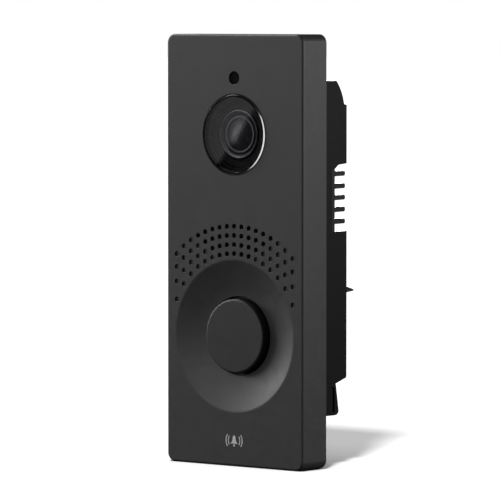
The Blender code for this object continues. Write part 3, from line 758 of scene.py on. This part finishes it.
def make_chassis():
    """The housing: its outline seen from the side, with a curved upper back and the fins' opening."""
    low, high = span("rear_housing")
    half = high.x
    top, bottom, back = high.z, low.z, high.y
    deep = HOUSING_DEPTH
    outline = [(HOUSING_GAP, top), (11.9, top)] + arc(-1.6, 55.1, 19.1, 43, 11.8, 8)
    outline += [(17.3, 58.9), (deep - 0.2, 58.7), (deep, 58.5), (deep, 35.1), (deep - 0.2, 34.9)]
    outline += [(13.7, 34.5), (13.3, 34.3), (11.1, 32.8), (10.9, FIN_HIGH), (FIN_ROOT, FIN_HIGH)]
    outline += [(FIN_ROOT, FIN_LOW), (deep - 0.2, FIN_LOW), (deep, FIN_LOW - 0.2)]
    outline += [(deep, -51.0), (deep - 0.4, -51.7), (12.0, bottom + 0.1), (11.7, bottom)]
    outline += [(HOUSING_GAP, bottom)]
    outline = [(PLATE_BACK + a, b) for a, b in outline]
    body = bevelled(prism("chassis", outline, "X", -half, half), 0.3)
    cover_low, cover_high = span("terminal_cover")
    gap = 0.3
    half_x, half_z = cover_high.x + gap, (cover_high.z - cover_low.z) / 2 + gap
    centre = (0.0, (cover_low.z + cover_high.z) / 2)
    recess = rounded_rectangle(half_x, half_z, 1.5, 6, centre)
    cut(body, prism("cut_recess", recess, "Y", cover_low.y - gap, back + 1.0))
    shown(body, "housing", "black_plastic", BLACK, "rear_housing")


def make_fins():
    """One extrusion: a plate at the opening's root, and fins with filleted feet and rounded tips."""
    low, high = span("heatsink")
    tip = high.y
    root = PLATE_BACK + FIN_ROOT + 2.0
    front = PLATE_BACK + FIN_ROOT - 0.02
    half = FIN_HALF
    lower = [(root, half + 0.25), (root + 0.3, half + 0.05), (tip - 0.75, half - 0.05)]
    lower += [(tip - 0.3, half - 0.18), (tip - 0.06, 0.5), (tip, 0.2)]
    outline = [(front, FIN_LOW - 0.05), (root, FIN_LOW - 0.05)]
    for z in FIN_HEIGHTS:
        outline += [(y, z - reach) for y, reach in lower]
        outline += [(y, z + reach) for y, reach in reversed(lower)]
    outline += [(root, FIN_HIGH + 0.05), (front, FIN_HIGH + 0.05)]
    fins = prism("cooling_fins", outline, "X", low.x, high.x)
    shown(fins, "housing", "black_aluminium", FINS, "heatsink")


def make_cable_hood():
    """The hood under the housing that the cables come out of, with a shallow panel in each side."""
    low, high = span("cable_entry_hood")
    top = span("rear_housing")[0].z + 0.05
    outline = [(HOUSING_GAP, top), (11.9, top), (13.75, -64.6), (13.6, -65.3), (13.1, -65.9)]
    outline += [(12.5, -66.2), (11.9, low.z), (HOUSING_GAP, low.z)]
    outline = [(PLATE_BACK + a, b) for a, b in outline]
    hood = bevelled(prism("cable_hood", outline, "X", low.x, high.x), 0.3)
    radius, bore_low, bore_high = 4.7, -68.0, -62.0
    bore = [(0.0, bore_low), (radius, bore_low), (radius, bore_high), (0.0, bore_high)]
    cut(hood, turned("cut_bore", bore, (0.0, middle("cable_grommet").y), "Z", segments=64))
    panel = rounded_rectangle(4.5, 5.1, 0.8, 5, (PLATE_BACK + 6.4, (top + low.z) / 2))
    panel_depth = 0.7
    for side in (low.x, high.x):
        cut(hood, prism("cut_panel", panel, "X", side - panel_depth, side + panel_depth))
    shown(hood, "housing", "black_plastic", BLACK, "cable_entry_hood")


def make_clip(node):
    """A barbed steel strip let into the housing's side, its point blunted and rounded."""
    low, high = span(node)
    front, root, tip = low.y, PLATE_BACK + HOUSING_DEPTH + 0.3, high.y
    blunt = 0.42
    centre_z = low.z + 0.45 + blunt
    outline = [(front, low.z), (root, low.z), (root + 0.6, low.z + 0.15)]
    outline += arc(tip - blunt, centre_z, blunt, -80, 70, 8)
    outline += [(root, high.z), (front, high.z)]
    inset = 0.3
    side = node.removeprefix("wall_clip_")
    strip = prism("grip_" + side, outline, "X", low.x + inset, high.x - inset)
    piece = bevelled(strip, 0.1)
    shown(piece, "housing", "steel", BLACK_STEEL, node)


def lobed_cutter(name, centre, axis, radius, low, high):
    """A cutter for a six-lobed screw recess."""
    profile = []
    steps = 48
    wave = 0.14
    for i in range(steps):
        angle = 2 * math.pi * i / steps
        reach = radius * (1 - wave + wave * math.cos(6 * angle))
        profile.append((centre[0] + reach * math.cos(angle), centre[1] + reach * math.sin(angle)))
    return prism(name, profile, axis, low, high)


def make_cover_screw():
    """The countersunk screw that holds the cover from below."""
    low, high = span("cover_screw")
    centre = (0.0, (low.y + high.y) / 2)
    head = high.x
    profile = [(0.0, low.z), (head - 0.15, low.z), (head, low.z + 0.1), (1.35, low.z + 1.45)]
    turns = 9
    pitch = (high.z - low.z - 2.4) / turns
    core = 1.2
    for i in range(turns):
        z = low.z + 1.7 + pitch * i
        profile += [(core, z), (core + 0.18, z + pitch / 2)]
    profile += [(core, high.z - 0.6), (core - 0.5, high.z), (0.0, high.z)]
    screw = turned("bottom_screw", profile, centre, "Z", segments=48)
    cut(screw, lobed_cutter("cut_drive", centre, "Z", 1.5, low.z - 1.0, low.z + 0.95))
    shown(screw, "housing", "steel", BLACK_STEEL, "cover_screw")


def make_back_cover():
    """The service cover on the housing's back, with its two screws."""
    low, high = span("terminal_cover")
    half_x = high.x
    half_z = (high.z - low.z) / 2
    centre = (0.0, (high.z + low.z) / 2)

    def outline_at(inset):
        return rounded_rectangle(half_x - inset, half_z - inset, 1.3, 8, centre)

    plate = slab("service_cover", outline_at, low.y, high.y, 0.0, 0.3)
    cutters = []
    vent_pitch, vent_depth = 4.2, 0.45
    for column in range(-3, 4):
        vent = rounded_rectangle(0.6, 7.0, 0.59, 6, (vent_pitch * column, centre[1]))
        cutters.append(prism("cut_vent", vent, "Y", high.y - vent_depth, high.y + 1.0))
    for node in SERVICE_SCREWS:
        above, end = high.y + 0.3, high.y - 1.3
        sink = [(0.0, above), (2.4, above), (2.05, high.y - 0.35), (1.35, end), (0.0, end)]
        cutters.append(turned("cut_sink", sink, (0.0, middle(node).z), segments=32))
    cut(plate, *cutters)
    shown(plate, "housing", "black_plastic", BLACK, "terminal_cover")
    for node in SERVICE_SCREWS:
        screw_low, screw_high = span(node)
        spot = (0.0, middle(node).z)
        head, back, tip = screw_high.x, screw_high.y, screw_low.y
        shank = 1.0
        profile = [(0.0, back), (head - 0.3, back), (head, back - 0.15), (shank, back - 0.8)]
        profile += [(shank, tip + 0.4), (shank - 0.4, tip), (0.0, tip)]
        screw = turned("service_screw_" + node[-1], profile, spot, segments=40)
        cut(screw, lobed_cutter("cut_drive", spot, "Y", 1.05, back - 0.6, back + 1.0))
        shown(screw, "housing", "steel", STEEL, node)


def make_grommet():
    """The cable grommet: a lip under the hood, a groove above it and ribs in its bore."""
    low, high = span("cable_grommet")
    bore = 3.6
    profile = [(bore, low.z + 0.2), (bore + 0.25, low.z), (5.1, low.z), (5.45, low.z + 0.25)]
    profile += [(5.58, low.z + 0.7), (5.4, low.z + 0.88), (4.4, low.z + 0.9), (4.35, low.z + 3.4)]
    profile += [(4.42, low.z + 3.6), (4.4, high.z - 0.3), (4.1, high.z), (bore, high.z)]
    rib_pitch, rib_height, rib_half = 0.9, 0.35, 0.25
    for i in range(4):
        z = high.z - rib_pitch * (i + 0.6)
        profile += [(bore, z + rib_half), (bore - rib_height, z), (bore, z - rib_half)]
    piece = turned("rubber_grommet", profile, (0.0, middle("cable_grommet").y), "Z", segments=64)
    shown(piece, "housing", "rubber", RUBBER, "cable_grommet")


def make_back_plate():
    """The base plate: its pads touch the wall, and shallow pockets lighten them."""
    low, high = span("base_plate")
    thick = 2.4
    half_x, half_z = high.x, high.z
    plate_front = PLATE_BACK - thick

    def outline_at(inset):
        return rounded_rectangle(half_x - inset, half_z - inset, 1.7, 6)

    plate = slab("back_plate", outline_at, plate_front, PLATE_BACK, 0.2, 0.2)
    tab = block("add_tab", (-5.0, low.y, -half_z), (5.0, PLATE_BACK - 1.0, -half_z + 5.0))
    join(plate, tab)
    for bottom, top in ((70.0, 83.0), (-83.0, -69.0)):
        pad = rounded_rectangle(31.0, (top - bottom) / 2, 1.5, 6, (0.0, (top + bottom) / 2))
        join(plate, prism("add_pad", pad, "Y", PLATE_BACK - 1.0, high.y))
    wide, narrow, step_low, step_high = 29.0, 23.0, -45.4, 60.0
    right = [(narrow, -64.0), (narrow, step_low), (wide, step_low)]
    right += [(wide, step_high), (narrow, step_high), (narrow, 66.0)]
    opening = right + [(-x, z) for x, z in reversed(right)]
    cut(plate, prism("cut_opening", opening, "Y", low.y - 2.0, high.y + 2.0))
    cutters = []
    holes = [(x, z, 2.3) for x in (-WALL_SCREW_X, WALL_SCREW_X) for z in (-WALL_SCREW_Z, WALL_SCREW_Z)]
    holes += [(middle(node).x, middle(node).z, 1.8) for node in HOUSING_SCREWS]
    tamper = middle("tamper_plunger")
    holes.append((tamper.x, tamper.z, 2.1))
    before, behind = plate_front - 1.0, high.y + 0.5
    for x, z, radius in holes:
        hole = [(0.0, before), (radius, before), (radius, high.y - 0.3)]
        hole += [(radius + 0.8, behind), (0.0, behind)]
        cutters.append(turned("cut_hole", hole, (x, z), segments=40))
    pockets = [(x, -WALL_SCREW_Z) for x in (-13.0, 0.0, 13.0)]
    pockets += [(x, WALL_SCREW_Z) for x in (-12.0, 0.0)]
    pocket_depth = 0.5
    for spot in pockets:
        pocket = rounded_rectangle(4.2, 4.4, 0.8, 5, spot)
        cutters.append(prism("cut_pocket", pocket, "Y", high.y - pocket_depth, high.y + 1.0))
    radius, thread_low, thread_high = 1.65, -86.0, -76.0
    thread = [(0.0, thread_low), (radius, thread_low), (radius, thread_high), (0.0, thread_high)]
    cutters.append(turned("cut_thread", thread, (0.0, middle("cover_screw").y), "Z", segments=32))
    cut(plate, *cutters)
    shown(plate, "housing", "black_plastic", PLATE, "base_plate")


# ---------------------------------------------------------------- carried-over CAD nodes

FINISHES = {
    "black_plastic": PLATE,
    "black_aluminium": FINS,
    "steel": STEEL,
    "clear_glass": SMOKED,
    "smoked_window": SMOKED,
    "lens_glass": LENS_INNER,
    "rubber": RUBBER,
    "circuit_board": BOARD,
    "chip_black": CHIP,
    "ivory_plastic": IVORY,
    "green_plastic": GREEN,
    "blue_plastic": BLUE,
    "paper_cone": PAPER,
    "magnet_metal": MAGNET,
    "thermal_pad": PAD,
    "ferrite": FERRITE,
    "graphite_cover": GRAPHITE,
    "button_black": BUTTON,
    "polished_trim": RING,
}


def finish_nodes():
    """Gives every CAD node the finish of its slot in the record."""
    for row in frame["record"]["subparts"]:
        for place in frame["nodes"][row["node"]].material_slots:
            place.material = FINISHES[row["material_slot"]].material


# ---------------------------------------------------------------- studio

WORLD_LEVEL = 0.006
FLOOR_SIZE = 12000.0
FLOOR_GAP = 0.1
SUN_DISTANCE = 1500.0

# Name, azimuth, elevation, distance, size and power in watts. The last one shines on the back alone,
# so that it leaves the cover's edges dark.
SOFTBOXES = (
    ("front_left", -20.0, 10.0, 1500.0, 350.0, 1.9),
    ("front_right", 10.0, 10.0, 1500.0, 350.0, 2.5),
    ("left_front", -45.0, 25.0, 1500.0, 350.0, 2.2),
    ("left_low", -65.0, 12.0, 1500.0, 350.0, 3.5),
    ("left_side", -80.0, 12.0, 1500.0, 350.0, 6.2),
    ("left_high", -84.0, 47.0, 1500.0, 350.0, 12.6),
    ("right_back", 118.0, 13.0, 800.0, 300.0, 3.0),
)
BACK_SOFTBOX = ("back", -150.0, 25.0, 1500.0, 700.0, 60.0)

# The flat glass mirrors the window card's edge, which runs between these two points about the middle of
# what the camera sees mirrored there, and beyond each by the spare length.
CARD_DISTANCE = 200.0
CARD_LOWER = Vector((-7.5, 0.0, -11.3))
CARD_UPPER = Vector((10.5, 0.0, 10.1))
CARD_SPARE = Vector((54.0, 0.0, 64.2))

# The two ends of each other card, as azimuth, elevation and distance about the window.
LENS_CARD = ((-57.0, -10.0, 800.0), (-38.0, 21.0, 800.0))
BARREL_CARD = ((-58.0, 25.0, 800.0), (-8.0, 33.0, 800.0))
EDGE_CARD = ((47.0, -84.0, 700.0), (47.0, 40.0, 600.0))


def pointing(piece, target):
    """Turns a light or camera towards the target."""
    direction = target - piece.location
    piece.rotation_euler = direction.to_track_quat("-Z", "Y").to_euler()


def around(azimuth, elevation, distance, target=Vector((0.0, 0.0, 0.0))):
    """A point in millimetres at an azimuth right of the front and an elevation, in degrees."""
    a, e = math.radians(azimuth), math.radians(elevation)
    offset = Vector((math.sin(a) * math.cos(e), -math.cos(a) * math.cos(e), math.sin(e)))
    return target + offset * distance


def make_camera():
    lens = bpy.data.cameras.new("camera")
    lens.lens = VIEW_LENS
    lens.sensor_width = 36.0
    lens.clip_end = 20.0
    view = bpy.data.objects.new("camera", lens)
    view.location = around(*VIEW_ANGLES, VIEW_DISTANCE, VIEW_TARGET) * MM
    pointing(view, VIEW_TARGET * MM)
    bpy.context.scene.collection.objects.link(view)
    bpy.context.scene.camera = view


def collection_of(name, *pieces):
    made = bpy.data.collections.new(name)
    for piece in pieces:
        made.objects.link(piece)
    return made


def all_but(name, *pieces):
    """For light linking: a light with this collection shines on everything but these pieces."""
    made = collection_of(name, *pieces)
    for member in made.collection_objects:
        member.light_linking.link_state = "EXCLUDE"
    return made


def softbox(name, azimuth, elevation, distance, size, power, receivers):
    """A square soft light that faces the object's middle."""
    lamp = bpy.data.lights.new(name, "AREA")
    lamp.shape = "SQUARE"
    lamp.size = size * MM
    lamp.energy = power
    light = bpy.data.objects.new(name, lamp)
    light.location = around(azimuth, elevation, distance) * MM
    pointing(light, Vector((0.0, 0.0, 0.0)))
    light.visible_camera = False
    light.visible_transmission = False
    light.light_linking.receiver_collection = receivers
    bpy.context.scene.collection.objects.link(light)


def floor_light(name, azimuth, elevation, spread, strength, floor):
    """Even light for the floor alone, which the object still shades."""
    lamp = bpy.data.lights.new(name, "SUN")
    lamp.energy = strength
    lamp.angle = math.radians(spread)
    light = bpy.data.objects.new(name, lamp)
    light.location = around(azimuth, elevation, SUN_DISTANCE) * MM
    pointing(light, Vector((0.0, 0.0, 0.0)))
    light.visible_glossy = False
    light.light_linking.receiver_collection = floor
    bpy.context.scene.collection.objects.link(light)


def make_floor():
    """A white floor that the camera sees but whose bounce stays off the object."""
    size = FLOOR_SIZE
    low = COVER_LOW.z - FLOOR_GAP
    corners = [(-size, -size, low), (size, -size, low), (size, size, low), (-size, size, low)]
    floor = built("floor", corners, [(0, 1, 2, 3)])
    paint = Surface("pale_floor", (0.86, 0.86, 0.86), 0.9)
    paint.vary_colour(paint.noise(400.0), 0.995, 1.005)
    paint.setting(Specular_IOR_Level=0.0)
    floor.data.materials.append(paint.material)
    floor.visible_diffuse = False
    floor.visible_glossy = False
    floor.visible_transmission = False
    floor.visible_shadow = False
    return floor


def make_world():
    """A world that is white to the camera and almost dark to the object."""
    world = bpy.data.worlds.new("studio")
    world.use_nodes = True
    tree = world.node_tree
    back = tree.nodes["Background"]
    rays = tree.nodes.new("ShaderNodeLightPath")
    level = tree.nodes.new("ShaderNodeMix")
    level.inputs[2].default_value = WORLD_LEVEL
    level.inputs[3].default_value = 1.0
    tree.links.new(rays.outputs["Is Camera Ray"], level.inputs[0])
    tree.links.new(level.outputs[0], back.inputs["Strength"])
    back.inputs["Color"].default_value = (1.0, 1.0, 1.0, 1.0)
    bpy.context.scene.world = world


def card(name, first, second, target, receivers, depth, radiance, shift=0.0):
    """A lit strip from one point to the other that faces the target and shines on only some pieces.

    It is `depth` wide, and its middle lies off the line between the points by `shift` of its width.
    """
    along = second - first
    length = along.length
    along = along.normalized()
    centre = (first + second) / 2
    direction = (centre - target).normalized()
    facing = (direction - along * direction.dot(along)).normalized()
    across = facing.cross(along)
    lamp = bpy.data.lights.new(name, "AREA")
    lamp.shape = "RECTANGLE"
    lamp.size = length * MM
    lamp.size_y = depth * MM
    lamp.energy = radiance * math.pi * length * depth * MM * MM
    strip = bpy.data.objects.new(name, lamp)
    turn = Matrix((along, across, facing)).transposed().to_4x4()
    strip.matrix_world = Matrix.Translation((centre + across * depth * shift) * MM) @ turn
    strip.visible_camera = False
    strip.light_linking.receiver_collection = collection_of(name, *receivers)
    bpy.context.scene.collection.objects.link(strip)
    return strip


def make_cards():
    """Cards for the window's glass, its lens, the lens barrel and the polished edge.

    The barrel's card is shaded by the barrel alone, because the hood would hide it.
    """
    pieces = bpy.data.objects
    window = Vector((0.0, FRONT, WINDOW_Z))
    view = (around(*VIEW_ANGLES, VIEW_DISTANCE, VIEW_TARGET) - window).normalized()
    mirrored = window + Vector((-view.x, view.y, -view.z)) * CARD_DISTANCE
    lower = mirrored + CARD_LOWER - CARD_SPARE
    upper = mirrored + CARD_UPPER + CARD_SPARE
    glass = [pieces["window_glass"]]
    card("window_card", lower, upper, window, glass, depth=120.0, radiance=0.36, shift=0.5)
    ends = [around(*end, window) for end in LENS_CARD]
    lens = [pieces["lens_front"], pieces["lens_trim"]]
    card("lens_card", *ends, window, lens, depth=110.0, radiance=42.0)
    ends = [around(*end, window) for end in BARREL_CARD]
    barrel = [pieces["lens_tube"]]
    barrel_card = card("barrel_card", *ends, window, barrel, depth=200.0, radiance=16.0)
    barrel_card.light_linking.blocker_collection = collection_of("barrel_blockers", *barrel)
    ends = [around(*end, window) for end in EDGE_CARD]
    card("edge_card", *ends, window, [pieces["window_sleeve"]], depth=350.0, radiance=1.1)


def make_studio():
    """Camera, floor and lights. The soft lights leave out the window's ring and its polished edge."""
    make_camera()
    make_world()
    floor = make_floor()
    only_floor = collection_of("floor_only", floor)
    pieces = bpy.data.objects
    edges = [pieces["window_ring"], pieces["window_sleeve"]]
    object_only = all_but("object_only", floor, *edges)
    behind_cover = all_but("behind_cover", floor, *edges, pieces["cover_shell"], pieces["button_cap"])
    for box in SOFTBOXES:
        softbox(*box, object_only)
    softbox(*BACK_SOFTBOX, behind_cover)
    make_cards()
    floor_light("floor_key", 28.2, 45.5, spread=7.5, strength=3.4, floor=only_floor)
    floor_light("floor_fill", 0.0, 90.0, spread=60.0, strength=1.9, floor=only_floor)
    bpy.context.scene.view_settings.view_transform = "Standard"


make_cover()
make_bell_sign()
make_window()
make_hood()
make_lens()
make_sensor()
make_button()
make_chassis()
make_fins()
make_cable_hood()
for clip in ("wall_clip_left", "wall_clip_right"):
    make_clip(clip)
make_cover_screw()
make_back_cover()
make_grommet()
make_back_plate()
finish_nodes()
make_studio()
